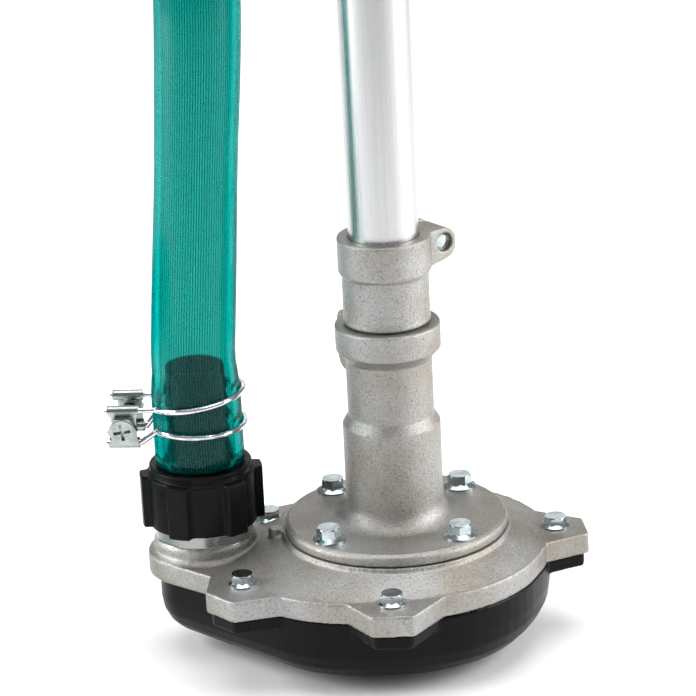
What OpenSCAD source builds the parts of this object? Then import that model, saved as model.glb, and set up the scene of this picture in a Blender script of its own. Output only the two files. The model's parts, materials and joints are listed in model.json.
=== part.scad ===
// Pump head driven by a shaft in an aluminium tube, with a hose on its outlet.
// Frame: +Z runs up the drive axis, the origin is on that axis in the plane that the pump stands on,
// and the outlet lies in the -X direction. Millimetres.

/* [Cover and casing] */
// Radius of the round part of the cover plate
plate_r = 55.4; // [52:0.2:60]
// Thickness of the cover plate's rim
plate_t = 7.9; // [6:0.1:10]
// Depth of the casing below the cover plate
bowl_depth = 28.1; // [27:0.1:34]
// Wall thickness of the casing
bowl_wall = 3; // [2.5:0.1:3.5]
// Rise of the cover's crown above its rim
crown_h = 5.2; // [4:0.1:7]

/* [Outlet] */
// Distance from the drive axis to the outlet axis
outlet_x = 72.4; // [70:0.2:80]
// Radius of the machined outlet neck
neck_r = 18.3; // [17.8:0.1:19]
// Radius of the union nut over its lugs
nut_lug_r = 23.1; // [22.4:0.1:24]
// Height of the union nut's body
nut_h = 20.2; // [18:0.1:22]

/* [Bearing housing] */
// Radius of the bearing housing's flange
flange_r = 41.9; // [40:0.1:43]
// Thickness of that flange
flange_t = 4.3; // [3.5:0.1:5]
// Radius of the circle of flange bolts
flange_bolt_pcr = 34.2; // [33:0.1:35]
// Radius of the neck where the bearings sit
neck_low_r = 18.25; // [17.5:0.05:19]
// Radius of the neck above the bearings
neck_mid_r = 16.05; // [15.8:0.05:16.5]

/* [Tube and drive] */
// Outside radius of the drive tube
tube_r = 13; // [12.8:0.1:13.2]
// Height of the tube's top end above the floor
tube_top = 620; // [500:5:900]
// Radius of the drive shaft
drive_r = 4; // [3.5:0.5:4.5]
// Radius of the pump shaft
shaft_r = 5; // [4.5:0.5:5.5]

/* [Hose] */
// Outside radius of the hose
hose_r = 15.5; // [14.5:0.1:16]
// Bore radius of the hose
hose_bore_r = 12.7; // [12:0.1:13]
// Outside radius of the hose where the barb stretches it
hose_fit_r = 16.5; // [16:0.1:17]
// Centre line radius of the coil
coil_r = 160; // [156:1:160]
// Distance from the drive axis to the coil's centre
coil_x = 390; // [380:1:395]

/* [Hidden] */
$fn = 96;
eps = 0.01;

// heights above the floor
floor_gap = 3;
bowl_z = floor_gap;
rim_z = bowl_z + bowl_depth;
rim_top = rim_z + plate_t;
crown_z = rim_top + crown_h;
pad_h = 2;
pad_z = crown_z + pad_h;
gasket_t = 0.4;
flange_z = pad_z + gasket_t;
disc_z = flange_z + flange_t;
neck_step_z = 88.1;
neck_step_h = 3.6;
mid_collar_r = 19.5;
mid_collar_z = 116;
mid_collar_h = 11.25;
mid_collar_top = mid_collar_z + mid_collar_h;
top_collar_r = 17.25;
top_collar_z = 147.7;
top_collar_h = 13.05;
top_collar_top = top_collar_z + top_collar_h;

// cover and casing outline: round part, two swells of the volute, and outlet end
swell = [-13.6, -7.7];
swell_r = 49.5;
back_swell = [4.4, 5];
back_swell_r = 52.8;
outlet_end_r = 21.7;
outlet = [-outlet_x, 0];
bowl_inset = 0.1;
bowl_swell_inset = 1.5;
bowl_outlet_r = 17.8;
bowl_round = 18.5;
bowl_outlet_round = 15;
// how far the casing's floor rises towards the outlet
bowl_outlet_rise = 2.6;
gasket_cover_t = 0.5;

// lobes that carry the cover bolts: the bolt's angle and radius, then the centres of the four corners
LOBES = [
    [-145.3, 66.9, [[-65.8, -43.2], [-56.6, -51.7], [-38.6, -46.1], [-65.2, -24.5]]],
    [-89, 57.8, [[-4.8, -66.9], [8, -66.4], [19.2, -47.9], [-16.3, -52.4]]],
    [11.1, 60.7, [[69.6, 6], [67.5, 18.2], [49.1, 26.7], [50.7, -4.5]]],
    [88, 58.4, [[8.2, 66.2], [-5.2, 66.6], [-19, 48], [19, 47]]]
];
lobe_round = 2.4;
hidden_bolt = [155, 55.2];
COVER_BOLTS = concat([for (l = LOBES) [l[0], l[1]]], [hidden_bolt]);
lug_t = 5.6;
lug_shrink = 0.86;

// bolts
bolt_r = 2.5;
bolt_hole_r = 2.7;
thread_gap = 0.05;
run_gap = 0.08;
bolt_af = 8;
flange_bolt_turn = 47;
flange_bolt_len = 16;
cover_bolt_len = 13;
cover_nut_r = 3.8;
// how far the cover bolts' seats stand above the rim
seat_rise = 0.4;

// clamp ears, each in its own turned frame: the screw's place, the round end's heights, the root's lowest
// height, the faces either side, and the slot
ear_x = 20.2;
ear_r = 5.4;
ear_root_x = 12.5;
ear_slot_w = 2;
ear_screw_r = 2.5;
ear_slot_y = 3.2;
top_ear_turn = 41;
TOP_EAR_Z = [154.3, 155.3];
top_ear_root_z = 147.5;
TOP_EAR_Y = [-10.4, 13];
mid_ear_turn = 120;
MID_EAR_Z = [109, 121.8];
mid_ear_root_z = 106;
MID_EAR_Y = [-12, 8.5];
mid_ear_slot_y = -2;
mid_ear_screw_z = 113;

// strainer in the casing's eye
strainer_r = 30;
strainer_screw_r = 25;
STRAINER_SCREWS = [for (a = [45:90:315]) a];

// outlet parts
boss_r = 19.2;
boss_foot_r = 21.2;
boss_foot_h = 1.6;
boss_top = 44.1;
nut_z = 50.3;
nut_body_r = 20.5;
nut_top = nut_z + nut_h;
nut_lugs = 6;
nut_turn = 11.6;
bead_r = 19.3;
bead_h = 1.65;
outlet_bore_r = 12;
thread_r = 16.8;
thread_top = 62;
barb_r = 12;
barb_bore_r = 9.6;
barb_top = 112;
barb_flange_r = 16;
barb_flange_t = 3;
barb_rib = 1;
washer_t = 1.6;
hose_z = 74.4;
hose_fit_top = 114;
hose_fit_ramp = 10;

// centre line of the free hose, from the barb over an arch and down to the coil's upper turn
HOSE_ROUTE = [
    [-72.4, 0, 118], [-70, 0, 150], [-67, 0, 190], [-63, 0, 250], [-64, 8, 300], [-76, 22, 345],
    [-102, 44, 383], [-143, 74, 406], [-190, 108, 402], [-230, 135, 370], [-252, 152, 320], [-260, 159, 260],
    [-261, 160, 200], [-268, 160, 145], [-286, 160, 98], [-316, 160, 69], [-352, 160, 52],
    [-386, 160, 46.6]
];
hose_sides = 12;
hose_step = 360 / hose_sides;
// sideways direction that the route never runs along
side_hint = [0.66, 0.75, 0];
coil_turns_high = 2;

// wire clamp on the hose: each loop's height and tilt, both about the outlet axis
wire_r = 1.05;
// extra radius of the ball that rounds each bend of the wire
bend_gain = 0.04;
wire_loop_r = hose_fit_r + wire_r + 0.2;
WIRE_LOOPS = [[100, 7.4], [89.4, -1.4]];
clamp_x = -26.3;
clamp_z = 91.8;
clamp_front = -11;
clamp_back = 6;
HEM_Z = [98.1, 85.6];
hem_r = 2.1;
ear_t = 1.2;
ear_w = 11.5;
clamp_screw_r = 2.5;

// shaft line
eye_r = 17;
bearing_r = 13;
bearing_w = 8;
LOW_BEARING = 54.2;
HIGH_BEARING = 76;
BEARINGS = [LOW_BEARING, HIGH_BEARING];
race_t = 2.2;
ball_n = 7;
ball_pitch_r = 9;
ball_r = 1.7;
groove_r = 2;
spigot_r = 13.4;
spigot_z = 94;
sleeve_r = 16.03;
tube_bore_r = 11.5;
tube_z = 128;
drive_z = 104;
drive_top = tube_top + 14;
impeller_r = 42;
impeller_z = 7;
impeller_top = 26;
shroud_t = 2.4;
vane_n = 6;
seal_z = 40.5;

// ---- shared shapes ----

// arc of points round a centre, from one angle to another
function arc(c, r, a0, a1, n = 8) = [for (i = [0:n]) c + r * [cos(a0 + (a1 - a0) * i / n),
    sin(a0 + (a1 - a0) * i / n)]];

module ring(r_in, r_out, z0, z1) {
    translate([0, 0, z0]) difference() {
        cylinder(r = r_out, h = z1 - z0);
        translate([0, 0, -1]) cylinder(r = r_in, h = z1 - z0 + 2);
    }
}

module at_outlet(z = 0) {
    translate([outlet.x, outlet.y, z]) children();
}

module at_polar(a, r, z = 0) {
    rotate([0, 0, a]) translate([r, 0, z]) children();
}

module at_cover_bolts(z) {
    for (b = COVER_BOLTS) at_polar(b[0], b[1], z) children();
}

module at_flange_bolts(z) {
    for (k = [0:3]) at_polar(flange_bolt_turn + 90 * k, flange_bolt_pcr, z) children();
}

// flat outline of the cover, drawn in by an inset on its three rounds
module outline(inset_round, inset_swell, outlet_end) {
    hull($fn = 96) {
        circle(r = plate_r - inset_round);
        translate(swell) circle(r = swell_r - inset_swell);
        translate(back_swell) circle(r = back_swell_r - inset_round);
        translate(outlet) circle(r = outlet_end);
    }
}

// lobe with rounded corners, shrunk towards its bolt
module lobe(l, shrink = 1) {
    bolt = l[1] * [cos(l[0]), sin(l[0])];
    hull($fn = 24) for (c = l[2]) translate(bolt + (c - bolt) * shrink) circle(r = lobe_round * shrink);
}

// flanged hexagon bolt, head upwards, seat at z = 0
module flange_bolt(len, af, cap_r, cap_t, head_h) {
    cylinder(r = cap_r, h = cap_t * 0.4);
    translate([0, 0, cap_t * 0.4]) cylinder(r1 = cap_r, r2 = af / 2, h = cap_t * 0.6);
    cylinder(r = af / sqrt(3), h = head_h - 0.5, $fn = 6);
    cylinder(r = af / 2, h = head_h);
    translate([0, 0, -len]) cylinder(r = bolt_r, h = len + 1);
}

// ---- casing and cover ----

// rounded bowl about one axis, for the casing's hulls
module bowl_round_part(r, round_r, z0) {
    corner = arc([r - round_r, z0 + round_r], round_r, -90, 0, 5);
    points = concat([[0, z0]], corner, [[r, rim_z], [0, rim_z]]);
    rotate_extrude($fn = 64) polygon(points);
}

// casing body, drawn in by the wall for its inside
module bowl_body(wall) {
    hull() {
        bowl_round_part(plate_r - bowl_inset - wall, bowl_round - wall, bowl_z + wall);
        translate(swell) bowl_round_part(swell_r - bowl_swell_inset - wall, bowl_round - wall, bowl_z + wall);
        translate(back_swell)
            bowl_round_part(back_swell_r - bowl_inset - wall, bowl_round - wall, bowl_z + wall);
        at_outlet() bowl_round_part(bowl_outlet_r - wall, bowl_outlet_round - wall,
            bowl_z + wall + bowl_outlet_rise);
    }
}

module pump_casing() {
    color([0.06, 0.06, 0.065]) difference() {
        union() {
            bowl_body(0);
            translate([0, 0, rim_z - lug_t]) linear_extrude(lug_t) for (l = LOBES) lobe(l, lug_shrink);
            // column for the bolt beside the outlet
            at_polar(hidden_bolt[0], hidden_bolt[1], rim_z - 14) cylinder(r = 5, h = 14);
        }
        difference() {
            bowl_body(bowl_wall);
            at_polar(hidden_bolt[0], hidden_bolt[1], 0) cylinder(r = 5, h = rim_z + 1);
        }
        translate([0, 0, rim_z - 0.5]) linear_extrude(1) outline(bowl_wall + bowl_inset,
            bowl_wall + bowl_swell_inset, bowl_outlet_r - bowl_wall);
        cylinder(r = eye_r, h = 12);
        at_cover_bolts(rim_z - lug_t + 0.6) cylinder(r = cover_nut_r + 0.02, h = lug_t);
        for (a = STRAINER_SCREWS) at_polar(a, strainer_screw_r, 0) cylinder(r = 1.3, h = 12);
    }
}

module intake_strainer() {
    slot_w = 2.6;
    color([0.07, 0.07, 0.075]) difference() {
        union() {
            ring(8, strainer_r, 0.8, bowl_z);
            cylinder(r = 9, h = bowl_z);
            for (a = STRAINER_SCREWS) at_polar(a, strainer_screw_r) cylinder(r = 4, h = bowl_z);
        }
        for (a = [0:15:345]) at_polar(a, 10) translate([0, -slot_w / 4, -1]) cube([6.5, slot_w / 2, 6]);
        for (a = [0:15:345]) if (a % 90 != 45) at_polar(a, 18)
            translate([0, -slot_w / 2, -1]) cube([9, slot_w, 6]);
        for (a = STRAINER_SCREWS) at_polar(a, strainer_screw_r, -1) cylinder(r = 1.6, h = 6);
        for (a = STRAINER_SCREWS) at_polar(a, strainer_screw_r, -eps) cylinder(r1 = 3.1, r2 = 1.6, h = 1.5);
    }
}

module strainer_screws() {
    color([0.8, 0.8, 0.8]) for (a = STRAINER_SCREWS) at_polar(a, strainer_screw_r, 0.05) difference() {
        union() {
            cylinder(r1 = 2.9, r2 = 1.4, h = 1.45);
            cylinder(r = 1.2, h = 5.6);
        }
        for (t = [0, 90]) rotate([0, 0, t]) translate([-1.6, -0.3, -1]) cube([3.2, 0.6, 1.7]);
    }
}

module cover_gasket() {
    color([0.1, 0.1, 0.1]) difference() {
        translate([0, 0, rim_z]) linear_extrude(gasket_cover_t) difference() {
            outline(0.8, 2, bowl_outlet_r - 0.4);
            outline(2.8, 4, bowl_outlet_r - 2.6);
        }
        at_cover_bolts(rim_z - 1) cylinder(r = bolt_hole_r, h = 3);
    }
}

module cover_plate() {
    color([0.66, 0.65, 0.63]) difference() {
        union() {
            translate([0, 0, rim_z]) linear_extrude(plate_t) {
                outline(0, 0, outlet_end_r);
                for (l = LOBES) lobe(l);
            }
            hull($fn = 64) {
                translate([0, 0, rim_top - 1]) cylinder(r = plate_r - 1, h = 1);
                translate([0, 0, crown_z - 1]) cylinder(r = flange_r + 1.8, h = 1);
                translate([swell.x, swell.y, rim_top - 1]) cylinder(r = swell_r - 1, h = 1);
                translate([back_swell.x, back_swell.y, rim_top - 1]) cylinder(r = back_swell_r - 1, h = 1);
            }
            translate([0, 0, rim_top]) cylinder(r = flange_r + 0.8, h = pad_z - rim_top);
            at_outlet(rim_top) cylinder(r1 = boss_foot_r, r2 = boss_r, h = boss_foot_h);
            at_outlet(rim_z + 1) cylinder(r = boss_r, h = boss_top - rim_z - 1);
            at_outlet(rim_z + 1) cylinder(r = neck_r, h = nut_z + 3 - rim_z - 1);
            at_outlet(rim_z + 1) cylinder(r = thread_r, h = thread_top - rim_z - 1);
            // cast stop beside the flange
            at_polar(-177, 45.4, rim_top) cylinder(r = 2.7, h = crown_h + 2.6);
            at_cover_bolts(rim_z + 1) cylinder(r = 5.6, h = plate_t - 1 + seat_rise);
        }
        // flat seats for the bolt heads
        at_cover_bolts(rim_top + seat_rise) cylinder(r = 5.7, h = 9);
        // face that meets the gasket
        translate([0, 0, rim_z - 0.5]) linear_extrude(0.5 + gasket_cover_t)
            outline(0.8, 2, bowl_outlet_r - 0.4);
        at_cover_bolts(rim_z - 1) cylinder(r = bolt_hole_r, h = plate_t + 8);
        at_outlet(rim_z - 1) cylinder(r = outlet_bore_r, h = thread_top);
        translate([0, 0, rim_z - 1]) cylinder(r = 17, h = 30);
        at_flange_bolts(rim_z + 2) cylinder(r = bolt_r + thread_gap, h = 30);
    }
}

module cover_bolts() {
    color([0.76, 0.79, 0.8]) at_cover_bolts(rim_top + seat_rise)
        flange_bolt(cover_bolt_len, bolt_af - 0.4, 5.3, 1.6, 4.4);
}

// threaded nuts moulded into the casing's lugs
module cover_nuts() {
    color([0.72, 0.6, 0.35]) at_cover_bolts(0)
        ring(bolt_r + thread_gap, cover_nut_r, rim_z - lug_t + 0.65, rim_z - 0.05);
}

module flange_gasket() {
    color([0.12, 0.12, 0.12]) difference() {
        ring(18, flange_r - 0.6, pad_z, flange_z);
        at_flange_bolts(pad_z - 1) cylinder(r = bolt_hole_r, h = 3);
    }
}

// ---- bearing housing, sleeve and tube ----

// pair of clamp ears on a collar, before its slot is cut: an upright lug with a round end
module clamp_ears(ends_z, root_z, sides_y) {
    width = sides_y[1] - sides_y[0];
    translate([0, sides_y[0], 0]) hull($fn = 32) {
        for (z = ends_z) translate([ear_x, 0, z]) rotate([-90, 0, 0]) cylinder(r = ear_r, h = width);
        translate([ear_root_x, 0, root_z]) cube([1, width, ends_z[1] + ear_r - root_z]);
    }
}

// slot and screw hole that part a pair of clamp ears, with a counterbore round the screw's end
module ear_cuts(slot_y, slot_z, screw_z, end_y) {
    translate([tube_r - 1, slot_y - ear_slot_w / 2, slot_z]) cube([30, ear_slot_w, 60]);
    translate([ear_x, -30, screw_z]) rotate([-90, 0, 0]) cylinder(r = ear_screw_r + run_gap, h = 60);
    translate([ear_x, end_y, screw_z]) rotate([-90, 0, 0]) cylinder(r = 3.5, h = 4.4, center = true);
}

module bearing_housing() {
    profile = concat(
        [[shaft_r + 4, flange_z], [flange_r, flange_z]],
        [[flange_r, disc_z - 1.7], [flange_r - 0.5, disc_z - 0.8], [flange_r - 1.8, disc_z]],
        arc([neck_low_r + 7, disc_z + 7], 7, 270, 180, 8),
        [[neck_low_r, neck_step_z], [neck_mid_r, neck_step_z + neck_step_h], [neck_mid_r, mid_collar_z - 2.5],
         [mid_collar_r - 1.5, mid_collar_z], [mid_collar_r, mid_collar_z + 1.5]],
        arc([mid_collar_r - 0.8, mid_collar_top - 0.8], 0.8, 0, 90, 4),
        [[spigot_r, mid_collar_top], [spigot_r, spigot_z - 6], [bearing_r, spigot_z - 6],
         [bearing_r, LOW_BEARING], [shaft_r + 4, LOW_BEARING]]);
    color([0.66, 0.65, 0.63]) difference() {
        union() {
            rotate_extrude() polygon(profile);
            // spigot that centres the housing in the cover
            ring(shaft_r + 4, 16.9, seal_z - 2, flange_z + 1);
            rotate([0, 0, mid_ear_turn]) difference() {
                clamp_ears(MID_EAR_Z, mid_ear_root_z, MID_EAR_Y);
                translate([0, 0, mid_ear_root_z - 10]) cylinder(r = spigot_r + 1, h = 40);
            }
        }
        at_flange_bolts(flange_z - 1) cylinder(r = bolt_hole_r, h = 9);
        // seat for the stationary seal ring
        translate([0, 0, seal_z - 3]) cylinder(r = 12, h = 6);
        // groove for the circlip
        ring(bearing_r - 1, bearing_r + 0.9, HIGH_BEARING + bearing_w, HIGH_BEARING + bearing_w + 1.3);
        rotate([0, 0, mid_ear_turn])
            ear_cuts(mid_ear_slot_y, mid_ear_root_z - 6, mid_ear_screw_z, MID_EAR_Y[1]);
    }
}

module flange_bolts() {
    color([0.76, 0.79, 0.8]) at_flange_bolts(disc_z) rotate([0, 0, 13])
        flange_bolt(flange_bolt_len, bolt_af, 6.1, 1.9, 5.3);
}

module clamp_sleeve() {
    profile = concat(
        [[tube_bore_r, spigot_z - 6 + 0.5], [spigot_r, spigot_z - 5.5], [spigot_r, mid_collar_top],
         [sleeve_r - 0.9, mid_collar_top], [sleeve_r - 0.9, mid_collar_top + 0.5],
         [sleeve_r + 0.3, mid_collar_top + 0.9], [sleeve_r + 0.3, mid_collar_top + 1.5],
         [sleeve_r, mid_collar_top + 3], [sleeve_r, top_collar_z - 1.6], [top_collar_r, top_collar_z]],
        arc([top_collar_r - 0.7, top_collar_top - 0.7], 0.7, 0, 90, 4),
        [[tube_r, top_collar_top], [tube_r, tube_z], [tube_bore_r, tube_z]]);
    color([0.66, 0.65, 0.63]) difference() {
        union() {
            rotate_extrude() polygon(profile);
            rotate([0, 0, top_ear_turn]) difference() {
                clamp_ears(TOP_EAR_Z, top_ear_root_z, TOP_EAR_Y);
                translate([0, 0, top_ear_root_z - 20]) cylinder(r = tube_r + 1, h = 40);
            }
        }
        rotate([0, 0, top_ear_turn])
            ear_cuts(ear_slot_y, top_ear_root_z - 12, TOP_EAR_Z[1], TOP_EAR_Y[0]);
    }
}

// socket head clamp screw along +Y, with its head's seat at y = 0 and its head on the +Y side
module clamp_screw_shape(len) {
    rotate([-90, 0, 0]) difference() {
        union() {
            cylinder(r = 4.2, h = 4.6);
            translate([0, 0, -len]) cylinder(r = ear_screw_r, h = len + 1);
        }
        translate([0, 0, 2]) cylinder(r = 2.3, h = 4, $fn = 6);
    }
}

module tube_clamp_screw() {
    color([0.7, 0.72, 0.74]) rotate([0, 0, top_ear_turn])
        translate([ear_x, TOP_EAR_Y[1] + 0.1, TOP_EAR_Z[1]]) clamp_screw_shape(21.5);
}

module sleeve_clamp_screw() {
    color([0.7, 0.72, 0.74]) rotate([0, 0, mid_ear_turn])
        translate([ear_x, MID_EAR_Y[0] - 0.1, mid_ear_screw_z]) rotate([0, 0, 180]) clamp_screw_shape(18.5);
}

module shaft_tube() {
    mark_z = tube_top - 60;
    color([0.82, 0.83, 0.84]) difference() {
        ring(tube_bore_r, tube_r, tube_z, tube_top);
        // insertion mark below the free end
        ring(tube_r - 0.25, tube_r + 1, mark_z, mark_z + 1.2);
    }
}

module shaft_bushes() {
    color([0.85, 0.8, 0.6]) for (z = [180, 390, tube_top - 24])
        ring(drive_r + run_gap, tube_bore_r - thread_gap, z, z + 20);
}

// ---- outlet and hose clamp ----

module union_nut() {
    lug = concat([[nut_body_r - 2, -5.1]], arc([0, 0], nut_lug_r, -10, 10, 6), [[nut_body_r - 2, 5.1]]);
    thread_end = thread_top + washer_t + barb_flange_t + 0.3;
    color([0.05, 0.05, 0.055]) at_outlet() rotate([0, 0, nut_turn]) difference() {
        union() {
            translate([0, 0, nut_z]) cylinder(r = nut_body_r, h = nut_h);
            for (k = [0:nut_lugs - 1]) rotate([0, 0, k * 360 / nut_lugs]) translate([0, 0, nut_z])
                linear_extrude(nut_h) polygon(lug);
            for (k = [0, 1]) translate([0, 0, nut_top + bead_h * (k + 0.5)]) rotate_extrude()
                translate([bead_r - bead_h / 2, 0]) circle(r = bead_h / 2, $fn = 24);
            translate([0, 0, nut_top - 1]) cylinder(r = bead_r - bead_h / 2, h = 2 * bead_h + 1 - 0.2);
        }
        translate([0, 0, nut_z - 1]) cylinder(r = neck_r + 0.4, h = 4.5);
        translate([0, 0, nut_z - 1]) cylinder(r = thread_r + 0.3, h = thread_end - nut_z + 1);
        translate([0, 0, nut_z]) cylinder(r = 13.4, h = 40);
    }
}

module union_washer() {
    color([0.15, 0.15, 0.15]) at_outlet() ring(barb_r, barb_flange_r, thread_top, thread_top + washer_t);
}

module hose_barb() {
    base = thread_top + washer_t;
    ribs = [for (z = [80:6:106]) z];
    profile = concat([[barb_bore_r, base], [barb_flange_r, base], [barb_flange_r, base + barb_flange_t],
        [barb_r - barb_rib, base + barb_flange_t]],
        [for (z = ribs) each [[barb_r - barb_rib, z], [barb_r, z], [barb_r - barb_rib, z + 4]]],
        [[barb_r - barb_rib, barb_top], [barb_bore_r, barb_top]]);
    color([0.04, 0.05, 0.05]) at_outlet() rotate_extrude() polygon(profile);
}

// straight wire between two points
module rod(p, q, r) {
    v = q - p;
    translate(p) rotate([0, acos(v.z / norm(v)), atan2(v.y, v.x)]) cylinder(r = r, h = norm(v));
}

module clamp_wire() {
    color([0.78, 0.8, 0.82]) at_outlet() {
        for (w = WIRE_LOOPS) translate([0, 0, w[0]]) rotate([0, -w[1], 0]) difference() {
            rotate_extrude() translate([wire_loop_r, 0]) circle(r = wire_r, $fn = 20);
            // the loop is open where its ends leave it
            translate([-30, clamp_front, -3]) cube([22, clamp_back - clamp_front, 6]);
        }
        // ends of the wire, bent out into the hems of the clamp's ears
        for (i = [0, 1]) for (y = [clamp_front, clamp_back]) {
            start_x = -sqrt(wire_loop_r * wire_loop_r - y * y);
            start = [start_x, y, WIRE_LOOPS[i][0] + start_x * sin(WIRE_LOOPS[i][1])];
            bend = [clamp_x + ear_w / 2 + 0.5, y, HEM_Z[i]];
            for (c = [start, bend]) translate(c) sphere(r = wire_r + bend_gain, $fn = 16);
            rod(start, bend, wire_r);
            rod(bend, [clamp_x - ear_w / 2 - 1, y, HEM_Z[i]], wire_r);
        }
    }
}

// ear of the clamp: a plate with a rolled hem round each wire end
module clamp_ear(hem_y, plate_y) {
    difference() {
        union() {
            translate([clamp_x - ear_w / 2, plate_y, HEM_Z[1]]) cube([ear_w, ear_t, HEM_Z[0] - HEM_Z[1]]);
            for (z = HEM_Z) translate([clamp_x - ear_w / 2, hem_y, z])
                rotate([0, 90, 0]) cylinder(r = hem_r, h = ear_w);
        }
        for (z = HEM_Z) translate([clamp_x - ear_w, hem_y, z]) rotate([0, 90, 0])
            cylinder(r = wire_r + thread_gap, h = 2 * ear_w);
        translate([clamp_x, plate_y - 5, clamp_z]) rotate([-90, 0, 0])
            cylinder(r = clamp_screw_r + run_gap, h = 10);
    }
}

module clamp_saddle() {
    color([0.74, 0.76, 0.78]) at_outlet() {
        clamp_ear(clamp_front, clamp_front - hem_r);
        clamp_ear(clamp_back, clamp_back + hem_r - ear_t);
    }
}

module clamp_nut() {
    color([0.74, 0.76, 0.78]) at_outlet() translate([clamp_x, clamp_back + hem_r, clamp_z])
        rotate([-90, 0, 0]) difference() {
            cylinder(r = 5, h = 4, $fn = 6);
            translate([0, 0, -1]) cylinder(r = clamp_screw_r + run_gap, h = 6);
        }
}

module clamp_screw() {
    head_y = clamp_front - hem_r - 0.2;
    len = clamp_back + hem_r + 5 - head_y;
    color([0.78, 0.8, 0.82]) at_outlet() translate([clamp_x, head_y, clamp_z]) rotate([90, 0, 0])
        difference() {
            union() {
                cylinder(r = 5.6, h = 3.2, $fn = 6);
                cylinder(r = 4.6, h = 3.7);
                translate([0, 0, -len]) cylinder(r = clamp_screw_r, h = len + 1);
            }
            for (t = [0, 90]) rotate([0, 0, t + 8]) translate([-3.2, -0.6, 1.8]) cube([6.4, 1.2, 4]);
        }
}

// ---- rotor ----

module pump_shaft() {
    color([0.75, 0.75, 0.77]) difference() {
        union() {
            translate([0, 0, impeller_z + 1]) cylinder(r = 3, h = 8);
            translate([0, 0, impeller_z + 8]) cylinder(r = shaft_r, h = 96 - impeller_z - 8);
        }
        translate([shaft_r - 1.5, -1.5, impeller_z + 9]) cube([3, 3, 9]);
    }
}

module impeller() {
    hub_r = 9;
    color([0.09, 0.09, 0.1]) difference() {
        union() {
            translate([0, 0, impeller_top - shroud_t]) cylinder(r = impeller_r, h = shroud_t);
            translate([0, 0, impeller_z + 8]) cylinder(r = hub_r, h = impeller_top - impeller_z - 8);
            for (k = [0:vane_n - 1]) rotate([0, 0, k * 360 / vane_n]) translate([0, 0, impeller_z + 1])
                linear_extrude(impeller_top - impeller_z - 2) polygon(concat(
                    arc([16, -13], 30, 152, 62, 10), arc([16, -13], 27.6, 62, 152, 10)));
        }
        translate([0, 0, impeller_z - 1]) cylinder(r = shaft_r, h = 30);
        translate([0, 0, impeller_z - 1]) cylinder(r = 7.4, h = 8 + 1);
        translate([shaft_r - 0.5, -1.5, impeller_z]) cube([2, 3, 30]);
    }
}

module impeller_key() {
    color([0.6, 0.6, 0.6]) translate([shaft_r - 1.5, -1.5, impeller_z + 9]) cube([3, 3, 9]);
}

module impeller_washer() {
    color([0.78, 0.78, 0.78]) ring(3, 7, impeller_z + 6.8, impeller_z + 8);
}

module impeller_nut() {
    color([0.78, 0.78, 0.78]) difference() {
        translate([0, 0, impeller_z + 1.8]) cylinder(r = 10 / sqrt(3), h = 5, $fn = 6);
        translate([0, 0, impeller_z]) cylinder(r = 3, h = 8);
    }
}

module seal_seat() {
    color([0.9, 0.9, 0.88]) ring(shaft_r + 1.2, 12, seal_z - 2, seal_z + 3);
}

module seal_ring() {
    color([0.15, 0.15, 0.16]) ring(shaft_r, 9.5, seal_z - 7, seal_z - 2.1);
}

module seal_spring() {
    coil_h = 1.1;
    color([0.8, 0.8, 0.8]) for (z = [impeller_top + 0.6:1.35:seal_z - 7.6]) translate([0, 0, z])
        rotate_extrude() translate([7.6, 0]) circle(r = coil_h / 2, $fn = 16);
}

// one ring of a ball bearing, with its ball groove
module race(r_in, r_out, z) {
    difference() {
        ring(r_in, r_out, z, z + bearing_w);
        translate([0, 0, z + bearing_w / 2]) rotate_extrude()
            translate([ball_pitch_r, 0]) circle(r = groove_r, $fn = 32);
    }
}

module bearing_outer_rings() {
    color([0.8, 0.8, 0.82]) for (z = BEARINGS) race(bearing_r - race_t, bearing_r, z);
}

module bearing_inner_rings() {
    color([0.8, 0.8, 0.82]) for (z = BEARINGS) race(shaft_r, shaft_r + race_t, z);
}

module bearing_balls() {
    color([0.9, 0.9, 0.92]) for (z = BEARINGS) for (k = [0:ball_n - 1])
        at_polar(k * 360 / ball_n, ball_pitch_r, z + bearing_w / 2) sphere(r = ball_r, $fn = 32);
}

module bearing_cages() {
    color([0.7, 0.55, 0.3]) for (z = BEARINGS) difference() {
        ring(ball_pitch_r - 0.9, ball_pitch_r + 0.9, z + 1.6, z + bearing_w - 1.6);
        for (k = [0:ball_n - 1]) at_polar(k * 360 / ball_n, ball_pitch_r, z + bearing_w / 2)
            sphere(r = ball_r, $fn = 32);
    }
}

module bearing_spacer() {
    color([0.75, 0.75, 0.75]) ring(bearing_r - 1.5, bearing_r, LOW_BEARING + bearing_w, HIGH_BEARING);
}

module circlip() {
    z = HIGH_BEARING + bearing_w;
    color([0.3, 0.3, 0.32]) difference() {
        ring(bearing_r - 1.6, bearing_r + 0.8, z, z + 1.2);
        translate([0, -2, z - 1]) cube([20, 4, 4]);
    }
}

module grease_seal() {
    z = LOW_BEARING;
    color([0.1, 0.1, 0.1]) ring(shaft_r + run_gap, shaft_r + 4 - thread_gap, z - 6.5, z - 0.6);
}

module drive_coupling() {
    color([0.7, 0.7, 0.72]) difference() {
        translate([0, 0, 90]) cylinder(r = 9, h = 30);
        translate([0, 0, 89]) cylinder(r = shaft_r, h = 7);
        translate([0, 0, 103]) cylinder(r = drive_r, h = 20);
    }
}

module drive_shaft() {
    spline_n = 7;
    color([0.72, 0.72, 0.74]) difference() {
        translate([0, 0, drive_z]) cylinder(r = drive_r, h = drive_top - drive_z);
        for (k = [0:spline_n - 1]) at_polar(k * 360 / spline_n, drive_r, drive_top - 22)
            translate([-0.7, -0.6, 0]) cube([2, 1.2, 30]);
    }
}

// ---- hose ----

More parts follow.
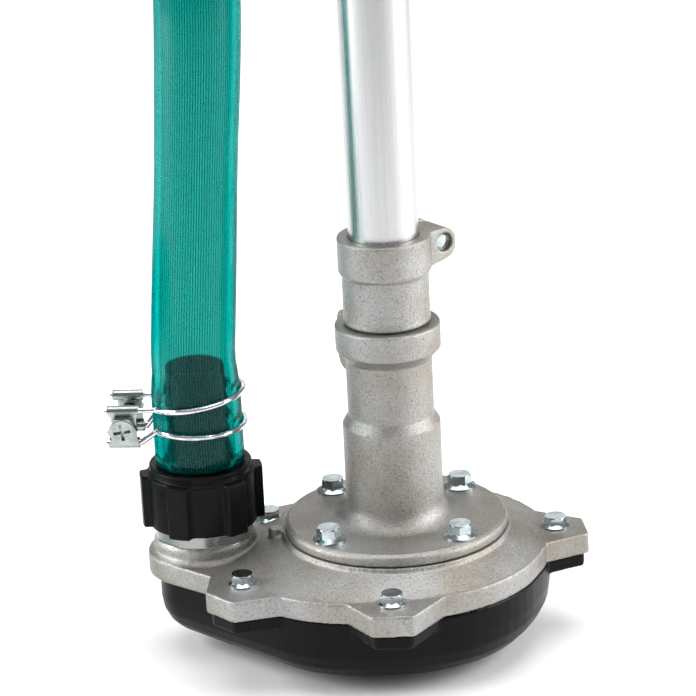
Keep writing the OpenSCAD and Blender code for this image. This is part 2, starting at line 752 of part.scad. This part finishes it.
module hose_end() {
    profile = [[barb_r, hose_z], [hose_fit_r, hose_z], [hose_fit_r, hose_fit_top - hose_fit_ramp],
        [hose_r, hose_fit_top], [hose_r, hose_fit_top + 4], [hose_bore_r, hose_fit_top + 4],
        [hose_bore_r, hose_fit_top], [barb_r, hose_fit_top - 1]];
    color([0.0, 0.55, 0.48]) at_outlet() rotate_extrude() polygon(profile);
}

function unit(v) = v / norm(v);
// direction of the line at one of its points
function line_dir(p, i) = unit(p[min(i + 1, len(p) - 1)] - p[max(i - 1, 0)]);
// ring of points round the line at one of its points
function line_ring(p, i, r) =
    let (d = line_dir(p, i), a = unit(cross(cross(d, side_hint), d)), b = cross(d, a))
    [for (k = [0:hose_sides - 1]) p[i] + r * (cos(hose_step * k) * a + sin(hose_step * k) * b)];

module delivery_hose() {
    last = len(HOSE_ROUTE) - 1;
    points = [for (i = [0:last]) each line_ring(HOSE_ROUTE, i, hose_r)];
    walls = [for (i = [0:last - 1]) for (k = [0:hose_sides - 1]) let (k1 = (k + 1) % hose_sides)
        [i * hose_sides + k, (i + 1) * hose_sides + k, (i + 1) * hose_sides + k1, i * hose_sides + k1]];
    first_end = [for (k = [0:hose_sides - 1]) k];
    last_end = [for (k = [0:hose_sides - 1]) last * hose_sides + hose_sides - 1 - k];
    color([0, 0.55, 0.48]) polyhedron(points, concat([first_end], walls, [last_end]), convexity = 10);
}

module hose_coil() {
    color([0, 0.55, 0.48]) translate([-coil_x, 0, 0])
        ring(coil_r - hose_r, coil_r + hose_r, 0, 2 * hose_r * coil_turns_high);
}

module coil_ties() {
    gap = 0.4;
    tie_t = 1.6;
    width = 2 * hose_r + 2 * gap;
    height = 2 * hose_r * coil_turns_high + gap;
    color([0.1, 0.1, 0.1]) translate([-coil_x, 0, 0]) for (a = [125, 200]) rotate([0, 0, a]) difference() {
        translate([coil_r - width / 2 - tie_t, -3, 0]) cube([width + 2 * tie_t, 6, height + tie_t]);
        translate([coil_r - width / 2, -4, -1]) cube([width, 8, height + 1]);
    }
}

intake_strainer();
strainer_screws();
pump_casing();
cover_gasket();
cover_plate();
cover_bolts();
cover_nuts();
flange_gasket();
bearing_housing();
flange_bolts();
seal_seat();
bearing_outer_rings();
bearing_spacer();
circlip();
grease_seal();
clamp_sleeve();
shaft_tube();
shaft_bushes();
tube_clamp_screw();
sleeve_clamp_screw();
hose_barb();
union_washer();
union_nut();
clamp_wire();
clamp_saddle();
clamp_nut();
clamp_screw();
pump_shaft();
impeller();
impeller_key();
impeller_washer();
impeller_nut();
seal_ring();
seal_spring();
bearing_inner_rings();
drive_coupling();
drive_shaft();
bearing_balls();
bearing_cages();
hose_end();
delivery_hose();
hose_coil();
coil_ties();
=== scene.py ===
import json
import math

import bmesh
import bpy
from mathutils import Matrix, Vector


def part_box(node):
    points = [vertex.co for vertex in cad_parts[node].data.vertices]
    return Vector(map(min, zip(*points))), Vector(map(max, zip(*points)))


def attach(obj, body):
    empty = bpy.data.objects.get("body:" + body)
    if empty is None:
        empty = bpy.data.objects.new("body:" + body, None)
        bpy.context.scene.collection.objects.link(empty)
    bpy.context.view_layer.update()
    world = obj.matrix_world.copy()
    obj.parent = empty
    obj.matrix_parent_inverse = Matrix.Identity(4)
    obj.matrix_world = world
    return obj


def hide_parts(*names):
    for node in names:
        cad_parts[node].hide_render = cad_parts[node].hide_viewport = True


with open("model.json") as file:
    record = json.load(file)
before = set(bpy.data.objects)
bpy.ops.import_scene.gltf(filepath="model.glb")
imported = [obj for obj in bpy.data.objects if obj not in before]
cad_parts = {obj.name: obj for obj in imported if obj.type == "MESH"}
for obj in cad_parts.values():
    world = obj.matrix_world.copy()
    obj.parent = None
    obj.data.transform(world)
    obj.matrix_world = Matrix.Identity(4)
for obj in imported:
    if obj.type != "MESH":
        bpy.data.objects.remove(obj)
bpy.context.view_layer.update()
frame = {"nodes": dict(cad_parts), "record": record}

NODES = frame["nodes"]
MM = 0.001

# ---- places worked out from the frame ----


def middle(node):
    low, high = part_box(node)
    return (low + high) / 2


BODY_OF = {n: body for body, names in frame["record"]["behaviour"]["bodies"].items() for n in names}
OUTLET = Vector((middle("hose_barb").x, 0, 0))
HOSE_LOW, HOSE_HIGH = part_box("hose_end")
COIL_LOW, COIL_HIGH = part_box("hose_coil")
COIL_MID = (COIL_LOW + COIL_HIGH) / 2
HOSE_D = 31 * MM
HOSE_R = HOSE_D / 2
BORE_R = 12.7 * MM
COIL_R = (COIL_HIGH.x - COIL_LOW.x) / 2 - HOSE_R
# the turned part of the outlet: above this height and inside this radius
MACHINED_Z = 43.7 * MM
MACHINED_R = 18.4 * MM
WORLD_STRENGTH = 0.28


# ---- camera ----

def make_camera():
    camera = bpy.data.cameras.new("camera")
    camera.lens = 179.2
    camera.sensor_width = 36
    camera.clip_end = 20
    obj = bpy.data.objects.new("camera", camera)
    bpy.context.scene.collection.objects.link(obj)
    turn = Matrix.Rotation(math.radians(4.38), 4, "Z")
    tilt = Matrix.Rotation(math.radians(90 - 19.79), 4, "X")
    roll = Matrix.Rotation(math.radians(-2.77), 4, "Z")
    obj.matrix_world = Matrix.Translation((0.077, -1.2, 0.55)) @ turn @ tilt @ roll
    bpy.context.scene.camera = obj


# ---- mesh helpers ----

def add_object(name, mesh, body=None, stands_for=()):
    obj = bpy.data.objects.new(name, mesh)
    bpy.context.scene.collection.objects.link(obj)
    if body:
        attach(obj, body)
    if stands_for:
        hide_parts(*stands_for)
    return obj


def mesh_from(name, verts, faces, smooth=True):
    mesh = bpy.data.meshes.new(name)
    mesh.from_pydata([tuple(v) for v in verts], [], faces)
    mesh.polygons.foreach_set("use_smooth", [smooth] * len(mesh.polygons))
    mesh.update()
    return mesh


def bake_modifiers(obj):
    """Make the shape that the modifiers give the object's own mesh."""
    bpy.context.view_layer.update()
    mesh = bpy.data.meshes.new_from_object(obj.evaluated_get(bpy.context.evaluated_depsgraph_get()))
    obj.modifiers.clear()
    obj.data = mesh


def sharpen(mesh, angle):
    mesh.polygons.foreach_set("use_smooth", [True] * len(mesh.polygons))
    mesh.set_sharp_from_angle(angle=math.radians(angle))


def curve_point(points, i, t):
    """Point on a smooth curve from points[i] to points[i + 1]."""
    a, b, c, d = (points[min(max(k, 0), len(points) - 1)] for k in (i - 1, i, i + 1, i + 2))
    bend = 2 * a - 5 * b + 4 * c - d
    return 0.5 * (2 * b + (c - a) * t + bend * t * t + (3 * b - a - 3 * c + d) * t ** 3)


def smooth_line(points, step):
    line = []
    for i in range(len(points) - 1):
        count = max(1, round((points[i + 1] - points[i]).length / step))
        line += [curve_point(points, i, k / count) for k in range(count)]
    return line + [points[-1]]


def frames_along(line):
    """A sideways pair of unit vectors at each point, turned along without twist."""
    side = Vector((0, 1, 0))
    pairs = []
    for i in range(len(line)):
        along = (line[min(i + 1, len(line) - 1)] - line[max(i - 1, 0)]).normalized()
        side = (side - along * side.dot(along)).normalized()
        pairs.append((side, along.cross(side)))
    return pairs


# ---- the hose: a free cord ----

HOSE_ROUTE_MM = [
    (-72.4, 0, 118), (-70, 0, 150), (-67, 0, 190), (-63, 0, 250), (-64, 8, 300), (-76, 22, 345),
    (-102, 44, 383), (-143, 74, 406), (-190, 108, 402), (-230, 135, 370), (-252, 152, 320), (-260, 159, 260),
    (-261, 160, 200), (-268, 160, 145), (-286, 160, 98), (-316, 160, 69), (-352, 160, 52), (-386, 160, 46.6),
]
# the coil in degrees: its start, its turn, the step between points, and the drop to the turn below
COIL_START = 92
COIL_TURN = 500
TURN_STEP = 8
DROP_START = 150
DROP_SPAN = 100
RIBS = 100
RIB_DEPTH = 0.2 * MM
INNER_POINTS = 50
# the hose's radius on the barb, then how it narrows near the top of that stretch and is pinched above it
BARB_FIT_R = 16.5 * MM
FIT_START = 4 * MM
FIT_LENGTH = 14 * MM
PINCH_Z = 0.186
PINCH_SPAN = 0.032
PINCH_DEPTH = 0.45 * MM
# spacing of the points along the hose, and how many points lie straight above the outlet
STEP = 5 * MM
EXIT_POINTS = 10


def coil_line():
    """Coil on the floor: along the upper turn, down beyond its own end, and once round below."""
    points = []
    for step in range(0, COIL_TURN + 1, TURN_STEP):
        angle = math.radians(COIL_START + step)
        drop = min(max((step - DROP_START) / DROP_SPAN, 0), 1)
        z = HOSE_R + HOSE_D * (1 - drop * drop * (3 - 2 * drop))
        points.append(Vector((COIL_MID.x + COIL_R * math.cos(angle), COIL_R * math.sin(angle), z)))
    return points


def hose_line():
    start = [Vector((OUTLET.x, 0, HOSE_LOW.z + k * 4 * MM)) for k in range(EXIT_POINTS)]
    route = [Vector(p) * MM for p in HOSE_ROUTE_MM]
    return smooth_line(start + route + coil_line(), STEP)


def hose_radius(height, on_riser):
    """Outer radius: wide on the barb, a little pinched above it, then its own size."""
    if not on_riser:
        return HOSE_R
    fit = min(max((HOSE_HIGH.z - FIT_START - height) / FIT_LENGTH, 0), 1)
    pinch = math.exp(-((height - PINCH_Z) / PINCH_SPAN) ** 2)
    return HOSE_R + (BARB_FIT_R - HOSE_R) * fit * fit * (3 - 2 * fit) - PINCH_DEPTH * pinch


def make_hose():
    line = hose_line()
    pairs = frames_along(line)
    around = 2 * RIBS
    inner_around = INNER_POINTS
    outer, inner = [], []
    riser_end = max(range(len(line)), key=lambda i: line[i].z)
    for i, (point, (a, b)) in enumerate(zip(line, pairs)):
        on_riser = i < riser_end
        r = hose_radius(point.z, on_riser)
        for k in range(around):
            t = 2 * math.pi * k / around
            rib = RIB_DEPTH if k % 2 else -RIB_DEPTH
            outer.append(point + (r + rib) * (a * math.cos(t) + b * math.sin(t)))
        r_in = r - (HOSE_R - BORE_R)
        for k in range(inner_around):
            t = 2 * math.pi * k / inner_around
            inner.append(point + r_in * (a * math.cos(t) + b * math.sin(t)))
    faces = []
    for i in range(len(line) - 1):
        for k in range(around):
            k1 = (k + 1) % around
            faces.append((i * around + k, i * around + k1, (i + 1) * around + k1, (i + 1) * around + k))
    base = len(outer)
    for i in range(len(line) - 1):
        for k in range(inner_around):
            k1 = (k + 1) % inner_around
            faces.append((base + (i + 1) * inner_around + k, base + (i + 1) * inner_around + k1,
                          base + i * inner_around + k1, base + i * inner_around + k))
    for i, flip in ((0, True), (len(line) - 1, False)):
        ratio = around // inner_around
        for k in range(inner_around):
            k1 = (k + 1) % inner_around
            rim = [i * around + (k * ratio + j) % around for j in range(ratio + 1)]
            face = rim + [base + i * inner_around + k1, base + i * inner_around + k]
            faces.append(tuple(reversed(face)) if flip else tuple(face))
    obj = add_object("hose", mesh_from("hose", outer + inner, faces), "pump",
                     ("hose_end", "delivery_hose", "hose_coil"))
    # Colour mask: 1 on the ribs, 0 in the grooves between them and 0.6 on the inner wall; the hose material
    # uses it to paint the grooves darker as painted shade.
    groove_shade_mask = obj.data.attributes.new("rib", "FLOAT", "POINT")
    groove_shade_values = [k % 2 for k in range(around)] * len(line)
    groove_shade_mask.data.foreach_set("value", groove_shade_values + [0.6] * len(inner))
    return obj


# ---- wire clamp: sheet ears rolled round the wire ----

# outer radius of a hem's CAD tube, and the radius of the sheet's middle line round the wire
HEM_R = 2.1 * MM
ROLL_R = 1.55 * MM
SHEET_T = 0.9 * MM
EDGE_ROUND = 0.15 * MM
HOLE_R = 2.75 * MM


def ear_profile(length):
    """Sideways and upward places along an ear, and how far each is from the hems, from 0 to 1."""
    roll = [math.radians(a) for a in range(250, 0, -10)]
    upper = [(ROLL_R * math.cos(a), ROLL_R * math.sin(a), 0) for a in roll]
    lower = [(u, -length - v, 0) for u, v, w in reversed(upper)]
    plate = [(ROLL_R, -length * k / 12, math.sin(math.pi * k / 12)) for k in range(13)]
    return upper + plate + lower


def ear_strip(hem_y, side, top, length, hem_x, plate_x):
    """Points and faces of one bent ear: its width goes from hem_x at the hems to plate_x between them."""
    across = 10
    rows = ear_profile(length)
    verts = []
    for u, v, middle_share in rows:
        share = min(1, middle_share * 1.6)
        left, right = (h + (p - h) * share for h, p in zip(hem_x, plate_x))
        verts += [(left + (right - left) * k / across, hem_y + side * u, top + v) for k in range(across + 1)]
    faces = []
    for i in range(len(rows) - 1):
        for k in range(across):
            a = i * (across + 1) + k
            faces.append((a, a + 1, a + across + 2, a + across + 1))
    return verts, faces


def screw_cutter():
    """Round bar through both ears where the screw passes."""
    at = middle("clamp_screw")
    mesh = bpy.data.meshes.new("cutter")
    bar = bmesh.new()
    bmesh.ops.create_cone(bar, cap_ends=True, segments=32, radius1=HOLE_R, radius2=HOLE_R, depth=60 * MM)
    bar.transform(Matrix.Translation(at) @ Matrix.Rotation(math.radians(90), 4, "X"))
    bar.to_mesh(mesh)
    bar.free()
    return bpy.data.objects.new("cutter", mesh)


def make_clamp_ears():
    low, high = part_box("clamp_saddle")
    length = high.z - low.z - 2 * HEM_R
    full = (low.x, high.x)
    waist = (low.x + 1.5 * MM, high.x - 0.8 * MM)
    verts, faces = ear_strip(low.y + HEM_R, -1, high.z - HEM_R, length, full, waist)
    back_verts, back_faces = ear_strip(high.y - HEM_R, 1, high.z - HEM_R, length, full, waist)
    faces += [tuple(i + len(verts) for i in face) for face in back_faces]
    mesh = mesh_from("clamp_ears", verts + back_verts, faces)
    obj = add_object("clamp_ears", mesh, BODY_OF["clamp_saddle"], ("clamp_saddle",))
    cutter = screw_cutter()
    bpy.context.scene.collection.objects.link(cutter)
    sheet = obj.modifiers.new("sheet", "SOLIDIFY")
    sheet.thickness = SHEET_T
    sheet.offset = 0
    hole = obj.modifiers.new("hole", "BOOLEAN")
    hole.object = cutter
    edges = obj.modifiers.new("edges", "BEVEL")
    edges.width = EDGE_ROUND
    edges.segments = 2
    edges.angle_limit = math.radians(40)
    bake_modifiers(obj)
    bpy.data.objects.remove(cutter)
    return obj


# ---- straps round the coil ----

TIE_ANGLES = [125, 200]
TIE_W = 6 * MM
TIE_T = 1.4 * MM
TIE_R = HOSE_R + 0.3 * MM
STRAP_POINTS = 48


def strap_outline(radius):
    """Closed outline round the two stacked turns, outwards and upwards from the coil's middle line."""
    points = []
    for k in range(STRAP_POINTS):
        angle = 2 * math.pi * (k + 0.5) / STRAP_POINTS
        base = HOSE_R + HOSE_D if k < STRAP_POINTS // 2 else HOSE_R
        points.append((radius * math.cos(angle), max(base + radius * math.sin(angle), 0)))
    return points


def make_ties():
    verts, faces = [], []
    for turn in TIE_ANGLES:
        a = math.radians(turn)
        out, along = Vector((math.cos(a), math.sin(a), 0)), Vector((-math.sin(a), math.cos(a), 0))
        mid = Vector((COIL_MID.x, 0, 0)) + out * COIL_R
        base = len(verts)
        for radius, side in ((TIE_R, -1), (TIE_R + TIE_T, -1), (TIE_R + TIE_T, 1), (TIE_R, 1)):
            verts += [mid + out * u + along * (side * TIE_W / 2) + Vector((0, 0, z))
                      for u, z in strap_outline(radius)]
        for ring in range(4):
            here = base + ring * STRAP_POINTS
            there = base + (ring + 1) % 4 * STRAP_POINTS
            for k in range(STRAP_POINTS):
                after = (k + 1) % STRAP_POINTS
                faces.append((here + k, here + after, there + after, there + k))
    mesh = mesh_from("coil_straps", verts, faces)
    obj = add_object("coil_straps", mesh, BODY_OF["coil_ties"], ("coil_ties",))
    return obj


# ---- materials ----

def shader(name, base, metallic=0.0, roughness=0.5, **sockets):
    material = bpy.data.materials.new(name)
    material.use_nodes = True
    bsdf = material.node_tree.nodes["Principled BSDF"]
    bsdf.inputs["Base Color"].default_value = (*base, 1)
    bsdf.inputs["Metallic"].default_value = metallic
    bsdf.inputs["Roughness"].default_value = roughness
    for key, value in sockets.items():
        bsdf.inputs[key.replace("_", " ")].default_value = value
    return material, material.node_tree, bsdf


def node(tree, kind, **values):
    made = tree.nodes.new(kind)
    for key, value in values.items():
        if key in made.inputs:
            made.inputs[key].default_value = value
        else:
            setattr(made, key, value)
    return made


def place(tree, scale=(1, 1, 1)):
    """Object coordinates, stretched by a scale."""
    coords = node(tree, "ShaderNodeTexCoord")
    mapping = node(tree, "ShaderNodeMapping")
    mapping.inputs["Scale"].default_value = scale
    tree.links.new(coords.outputs["Object"], mapping.inputs["Vector"])
    return mapping.outputs["Vector"]


def noise(tree, vector, scale, detail=3.0, rough=0.55):
    made = node(tree, "ShaderNodeTexNoise", Scale=scale, Detail=detail, Roughness=rough)
    tree.links.new(vector, made.inputs["Vector"])
    return made.outputs["Fac"]


def ramp(tree, value, stops):
    made = node(tree, "ShaderNodeValToRGB")
    elements = made.color_ramp.elements
    while len(elements) < len(stops):
        elements.new(0.5)
    for element, (place_at, colour) in zip(elements, stops):
        element.position = place_at
        element.color = (*colour, 1)
    tree.links.new(value, made.inputs["Fac"])
    return made.outputs["Color"]


def grey(v):
    return (v, v, v)


def bump(tree, bsdf, height, strength, distance, after=None):
    made = node(tree, "ShaderNodeBump", Strength=strength, Distance=distance)
    tree.links.new(height, made.inputs["Height"])
    if after:
        tree.links.new(after, made.inputs["Normal"])
    tree.links.new(made.outputs["Normal"], bsdf.inputs["Normal"])
    return made.outputs["Normal"]


def cast_aluminium():
    """Sand-blasted casting: warm and grey patches, dark pits and a fine sparkle."""
    material, tree, bsdf = shader("cast_aluminium", (0.5, 0.49, 0.47), 0.9, 0.42)
    at = place(tree)
    patch = noise(tree, at, 38, 4)
    pits = noise(tree, at, 1200, 3, 0.75)
    tint = node(tree, "ShaderNodeMixRGB", blend_type="MULTIPLY", Fac=1.0)
    tree.links.new(ramp(tree, patch, [(0.36, (0.3, 0.278, 0.24)), (0.62, (0.375, 0.372, 0.365))]),
                   tint.inputs["Color1"])
    tree.links.new(ramp(tree, pits, [(0.3, grey(0.35)), (0.42, grey(0.88)), (0.72, grey(1.15))]),
                   tint.inputs["Color2"])
    tree.links.new(tint.outputs["Color"], bsdf.inputs["Base Color"])
    grain = noise(tree, at, 1500, 3, 0.7)
    tree.links.new(ramp(tree, grain, [(0.35, grey(0.55)), (0.7, grey(0.3))]), bsdf.inputs["Roughness"])
    first = bump(tree, bsdf, grain, 0.55, 0.0004)
    bump(tree, bsdf, pits, 0.4, 0.0005, first)
    return material


def machined_aluminium():
    """Turned collar of the outlet, with fine lines round it."""
    material, tree, bsdf = shader("machined_aluminium", (0.3, 0.3, 0.295), 1.0, 0.25)
    lines = noise(tree, place(tree, (1, 1, 60)), 60, 2)
    tree.links.new(ramp(tree, lines, [(0.3, grey(0.18)), (0.7, grey(0.34))]), bsdf.inputs["Roughness"])
    bump(tree, bsdf, lines, 0.12, 0.0002)
    return material


def tube_aluminium():
    """Drawn and anodised tube, with faint lines along it."""
    material, tree, bsdf = shader("tube_aluminium", (0.7, 0.71, 0.71), 1.0, 0.3)
    streaks = noise(tree, place(tree, (700, 700, 12)), 1, 3)
    tree.links.new(ramp(tree, streaks, [(0.3, (0.47, 0.475, 0.48)), (0.7, (0.56, 0.565, 0.57))]),
                   bsdf.inputs["Base Color"])
    tree.links.new(ramp(tree, streaks, [(0.3, grey(0.24)), (0.7, grey(0.34))]), bsdf.inputs["Roughness"])
    bump(tree, bsdf, streaks, 0.05, 0.0001)
    return material


def zinc(name="zinc", tint=(0.5, 0.565, 0.585), roughness=0.17):
    material, tree, bsdf = shader(name, tint, 1.0, roughness)
    patch = noise(tree, place(tree), 260, 3)
    darker = tuple(c * 0.72 for c in tint)
    tree.links.new(ramp(tree, patch, [(0.35, darker), (0.65, tint)]), bsdf.inputs["Base Color"])
    tree.links.new(ramp(tree, patch, [(0.3, grey(roughness + 0.1)), (0.7, grey(roughness - 0.05))]),
                   bsdf.inputs["Roughness"])
    bump(tree, bsdf, patch, 0.12, 0.0003)
    return material


def black_plastic(name, tone, roughness, grain_scale, grain_depth):
    material, tree, bsdf = shader(name, grey(tone), 0.0, roughness, Specular_IOR_Level=0.1)
    at = place(tree)
    grain = noise(tree, at, grain_scale, 2)
    patch = noise(tree, at, 60, 3)
    dark, light = grey(tone * 0.7), grey(tone * 1.4)
    tree.links.new(ramp(tree, patch, [(0.3, dark), (0.7, light)]), bsdf.inputs["Base Color"])
    low, high = grey(roughness - 0.06), grey(roughness + 0.08)
    tree.links.new(ramp(tree, patch, [(0.3, low), (0.7, high)]), bsdf.inputs["Roughness"])
    bump(tree, bsdf, grain, grain_depth, 0.0002)
    return material


def plain(name, base, metallic, roughness, grain_scale=600, grain_depth=0.1):
    material, tree, bsdf = shader(name, base, metallic, roughness)
    grain = noise(tree, place(tree), grain_scale, 2)
    darker = tuple(c * 0.85 for c in base)
    tree.links.new(ramp(tree, grain, [(0.35, darker), (0.65, base)]), bsdf.inputs["Base Color"])
    bump(tree, bsdf, grain, grain_depth, 0.0002)
    return material


def hose_plastic():
    """Clear sea-green hose wall, a little cloudy, with painted shade in the grooves between its ribs."""
    material, tree, bsdf = shader("hose_plastic", (0.0, 0.62, 0.53), 0.0, 0.1, Transmission_Weight=0.94,
                                  IOR=1.25, Specular_IOR_Level=0.2)
    rib = node(tree, "ShaderNodeAttribute", attribute_name="rib")
    # Grooves between the ribs are painted dark and the ribs light: painted shade standing in for how the
    # ribs shade and refract light on the clear wall.
    tree.links.new(ramp(tree, rib.outputs["Fac"], [(0.15, (0.0, 0.16, 0.15)), (0.75, (0.0, 0.64, 0.58))]),
                   bsdf.inputs["Base Color"])
    haze = noise(tree, place(tree), 50, 2)
    tree.links.new(ramp(tree, haze, [(0.3, grey(0.08)), (0.7, grey(0.16))]), bsdf.inputs["Roughness"])
    bump(tree, bsdf, haze, 0.04, 0.0003)
    return material


# ---- assembling ----

def paint(name, material):
    obj = NODES[name]
    obj.data.materials.clear()
    obj.data.materials.append(material)
    sharpen(obj.data, 30)


def softened(name, voxel, passes, material):
    """A copy of a CAD piece with rounded cast or moulded edges, which stands for it."""
    mesh = NODES[name].data.copy()
    obj = bpy.data.objects.new(name + "_finished", mesh)
    bpy.context.scene.collection.objects.link(obj)
    remesh = obj.modifiers.new("remesh", "REMESH")
    remesh.mode = "VOXEL"
    remesh.voxel_size = voxel
    relax = obj.modifiers.new("smooth", "SMOOTH")
    relax.factor = 0.5
    relax.iterations = passes
    bake_modifiers(obj)
    obj.data.materials.clear()
    obj.data.materials.append(material)
    obj.data.polygons.foreach_set("use_smooth", [True] * len(obj.data.polygons))
    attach(obj, BODY_OF[name])
    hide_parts(name)
    return obj


def add_machined_ring(obj, material):
    """The turned part of the outlet, above its cast boss."""
    obj.data.materials.append(material)
    for face in obj.data.polygons:
        out = face.center - OUTLET
        if out.z > MACHINED_Z and math.hypot(out.x, out.y) < MACHINED_R:
            face.material_index = 1


def make_stage():
    mesh = mesh_from("floor", [(-6, -6, 0), (6, -6, 0), (6, 6, 0), (-6, 6, 0)], [(0, 1, 2, 3)], False)
    floor = bpy.data.objects.new("floor", mesh)
    bpy.context.scene.collection.objects.link(floor)
    mesh.materials.append(shader("pale_floor", grey(0.95), 0.0, 0.8)[0])
    world = bpy.data.worlds.new("world")
    bpy.context.scene.world = world
    world.use_nodes = True
    world.node_tree.nodes["Background"].inputs["Color"].default_value = (1, 1, 1, 1)
    world.node_tree.nodes["Background"].inputs["Strength"].default_value = WORLD_STRENGTH
    bpy.context.scene.view_settings.view_transform = "Standard"


def area_light(name, place_at, target, size, power):
    light = bpy.data.lights.new(name, "AREA")
    light.shape = "RECTANGLE"
    light.size, light.size_y = size
    light.energy = power
    obj = bpy.data.objects.new(name, light)
    bpy.context.scene.collection.objects.link(obj)
    direction = Vector(target) - Vector(place_at)
    obj.matrix_world = Matrix.Translation(place_at) @ direction.to_track_quat("-Z", "Y").to_matrix().to_4x4()


def make_lights():
    area_light("left_box", (-1.4, -0.15, 0.7), (0, 0, 0.15), (0.7, 1.3), 29)
    area_light("right_box", (1.4, 0, 0.7), (0, 0, 0.15), (0.8, 1.3), 28)
    area_light("back_box", (0, 2, 0.85), (0, 0, 0.05), (1.6, 0.7), 3.2)
    area_light("top_box", (0, 0.2, 1.9), (0, 0, 0.1), (1.6, 1.6), 30)


make_camera()
ties = make_ties()
hose = make_hose()
make_stage()
make_lights()

CAST = cast_aluminium()
ZINC = zinc()
CASING = black_plastic("casing_plastic", 0.003, 0.3, 900, 0.12)
NUT = black_plastic("nut_plastic", 0.004, 0.34, 1400, 0.15)
STEEL = plain("turned_steel", (0.6, 0.6, 0.61), 1.0, 0.3)
DARK_RUBBER = plain("dark_rubber", grey(0.02), 0.0, 0.6, 900, 0.2)
CERAMIC = plain("ceramic", grey(0.8), 0.0, 0.25)
BRASS = plain("brass", (0.6, 0.4, 0.12), 1.0, 0.35)
ACETAL = plain("acetal", (0.6, 0.55, 0.4), 0.0, 0.4)
PRESSED_ZINC = zinc("pressed_zinc", (0.4, 0.44, 0.43), 0.25)
WIRE = zinc("bright_wire", (0.8, 0.82, 0.86), 0.12)
hose.data.materials.append(hose_plastic())

ties.data.materials.append(DARK_RUBBER)
sharpen(ties.data, 40)
ears = make_clamp_ears()
ears.data.materials.append(PRESSED_ZINC)
sharpen(ears.data, 40)

LOOKS = {
    "cover_bolts": ZINC, "flange_bolts": ZINC, "cover_nuts": BRASS, "strainer_screws": ZINC,
    "tube_clamp_screw": ZINC, "sleeve_clamp_screw": ZINC, "shaft_tube": tube_aluminium(),
    "clamp_wire": WIRE, "clamp_nut": PRESSED_ZINC, "clamp_screw": PRESSED_ZINC,
    "hose_barb": NUT, "intake_strainer": NUT, "impeller": NUT,
    "cover_gasket": DARK_RUBBER, "flange_gasket": DARK_RUBBER, "grease_seal": DARK_RUBBER,
    "union_washer": DARK_RUBBER, "seal_ring": DARK_RUBBER, "seal_seat": CERAMIC,
    "bearing_cages": BRASS, "shaft_bushes": ACETAL,
}
cover = softened("cover_plate", 0.6 * MM, 2, CAST)
add_machined_ring(cover, machined_aluminium())
softened("bearing_housing", 0.45 * MM, 2, CAST)
softened("clamp_sleeve", 0.42 * MM, 2, CAST)
softened("pump_casing", 0.8 * MM, 3, CASING)
softened("union_nut", 0.42 * MM, 1, NUT)
for name in NODES:
    if not NODES[name].hide_render:
        paint(name, LOOKS.get(name, STEEL))
